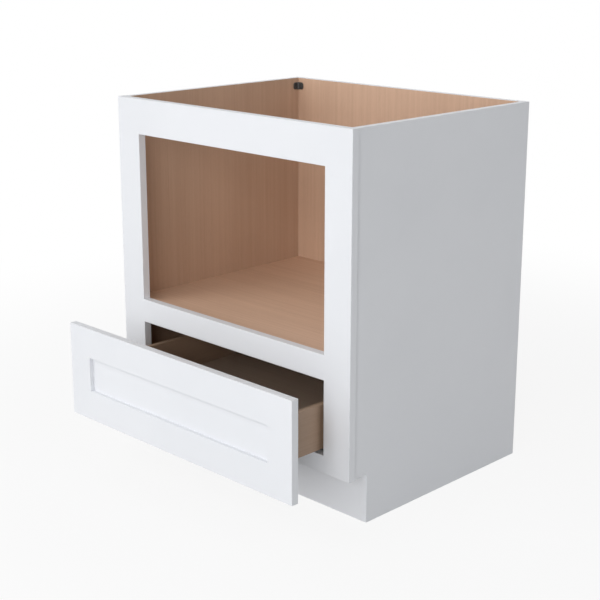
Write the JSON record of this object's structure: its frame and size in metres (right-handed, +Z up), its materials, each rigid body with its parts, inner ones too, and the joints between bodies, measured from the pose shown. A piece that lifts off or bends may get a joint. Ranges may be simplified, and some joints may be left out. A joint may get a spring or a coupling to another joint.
{
  "type": "microwave cabinet",
  "caption": "Face-frame base cabinet with an open microwave bay, solid deck, open top, toe space and a wide recessed-panel drawer on full-extension undermount runners.",
  "frame": {"origin": "on the floor at the middle of the back face, where the cabinet meets the wall", "axes": "+Z up; +Y out of the back, towards the wall, so the drawer opens towards -Y; +X to the right as seen from the front"},
  "size_m": [0.762, 0.7791, 0.8763],
  "materials": {
    "painted_wood": "satin white paint outside, light veneer on the inner face of the side panels",
    "veneer": "light wood veneer with a fine straight grain, satin lacquer",
    "drawer_wood": "plain light brown wood, matt lacquer",
    "black_plastic": "moulded, satin",
    "grey_plastic": "moulded, satin",
    "zinc_steel": "bright zinc plate",
    "ball_steel": "polished",
    "clear_rubber": "soft, clear"
  },
  "bodies": {
    "cabinet": {"stile_left": "painted_wood", "stile_right": "painted_wood", "rail_top": "painted_wood", "rail_middle": "painted_wood", "rail_bottom": "painted_wood", "side_left": "painted_wood", "side_right": "painted_wood", "back_panel": "veneer", "microwave_deck": "veneer", "cabinet_floor": "veneer", "toe_board": "painted_wood", "corner_bracket_back_left": "black_plastic", "corner_bracket_back_right": "black_plastic", "corner_bracket_front_left": "black_plastic", "corner_bracket_front_right": "black_plastic", "bracket_screws": "zinc_steel", "frame_screws": "zinc_steel", "runner_cabinet_left": "zinc_steel", "runner_cabinet_right": "zinc_steel", "runner_bracket_left": "grey_plastic", "runner_bracket_right": "grey_plastic", "runner_screws": "zinc_steel"},
    "drawer": {"drawer_side_left": "drawer_wood", "drawer_side_right": "drawer_wood", "drawer_box_front": "drawer_wood", "drawer_box_back": "drawer_wood", "drawer_bottom": "drawer_wood", "front_stile_left": "painted_wood", "front_stile_right": "painted_wood", "front_rail_top": "painted_wood", "front_rail_bottom": "painted_wood", "front_panel": "painted_wood", "front_screws": "zinc_steel", "front_bumpers": "clear_rubber", "runner_drawer_left": "zinc_steel", "runner_drawer_right": "zinc_steel", "locking_device_left": "grey_plastic", "locking_device_right": "grey_plastic", "locking_screws": "zinc_steel"},
    "middle_left": {"runner_middle_left": "zinc_steel"},
    "middle_right": {"runner_middle_right": "zinc_steel"},
    "cage_lower_left": {"cage_lower_left": "grey_plastic", "balls_lower_left": "ball_steel"},
    "cage_lower_right": {"cage_lower_right": "grey_plastic", "balls_lower_right": "ball_steel"},
    "cage_upper_left": {"cage_upper_left": "grey_plastic", "balls_upper_left": "ball_steel"},
    "cage_upper_right": {"cage_upper_right": "grey_plastic", "balls_upper_right": "ball_steel"},
    "lever_left": {"release_lever_left": "black_plastic"},
    "lever_right": {"release_lever_right": "black_plastic"}
  },
  "joints": [
    {"name": "drawer_slide", "type": "slide", "parent": "cabinet", "child": "drawer", "axis": [0, -1, 0], "range_m": [-0.1485, 0.3715]},
    {"name": "middle_slide_left", "type": "slide", "parent": "cabinet", "child": "middle_left", "axis": [0, -1, 0], "range_m": [-0.07475, 0.18625]},
    {"name": "lower_cage_slide_left", "type": "slide", "parent": "cabinet", "child": "cage_lower_left", "axis": [0, -1, 0], "range_m": [-0.03762, 0.09338]},
    {"name": "upper_cage_slide_left", "type": "slide", "parent": "cabinet", "child": "cage_upper_left", "axis": [0, -1, 0], "range_m": [-0.11188, 0.27913]},
    {"name": "middle_slide_right", "type": "slide", "parent": "cabinet", "child": "middle_right", "axis": [0, -1, 0], "range_m": [-0.07475, 0.18625]},
    {"name": "lower_cage_slide_right", "type": "slide", "parent": "cabinet", "child": "cage_lower_right", "axis": [0, -1, 0], "range_m": [-0.03762, 0.09338]},
    {"name": "upper_cage_slide_right", "type": "slide", "parent": "cabinet", "child": "cage_upper_right", "axis": [0, -1, 0], "range_m": [-0.11188, 0.27913]},
    {"name": "lever_pivot_left", "type": "hinge", "parent": "drawer", "child": "lever_left", "pos_m": [-0.2338, -0.7034, 0.17195], "axis": [0, 0, 1], "range_deg": [0, 12], "stiffness_Nm_per_rad": 0.01},
    {"name": "lever_pivot_right", "type": "hinge", "parent": "drawer", "child": "lever_right", "pos_m": [0.2338, -0.7034, 0.17195], "axis": [0, 0, -1], "range_deg": [0, 12], "stiffness_Nm_per_rad": 0.01}
  ],
  "couplings": [
    {"joint": "middle_slide_left", "follows": "drawer_slide", "ratio": 0.5},
    {"joint": "lower_cage_slide_left", "follows": "drawer_slide", "ratio": 0.25},
    {"joint": "upper_cage_slide_left", "follows": "drawer_slide", "ratio": 0.75},
    {"joint": "middle_slide_right", "follows": "drawer_slide", "ratio": 0.5},
    {"joint": "lower_cage_slide_right", "follows": "drawer_slide", "ratio": 0.25},
    {"joint": "upper_cage_slide_right", "follows": "drawer_slide", "ratio": 0.75}
  ]
}
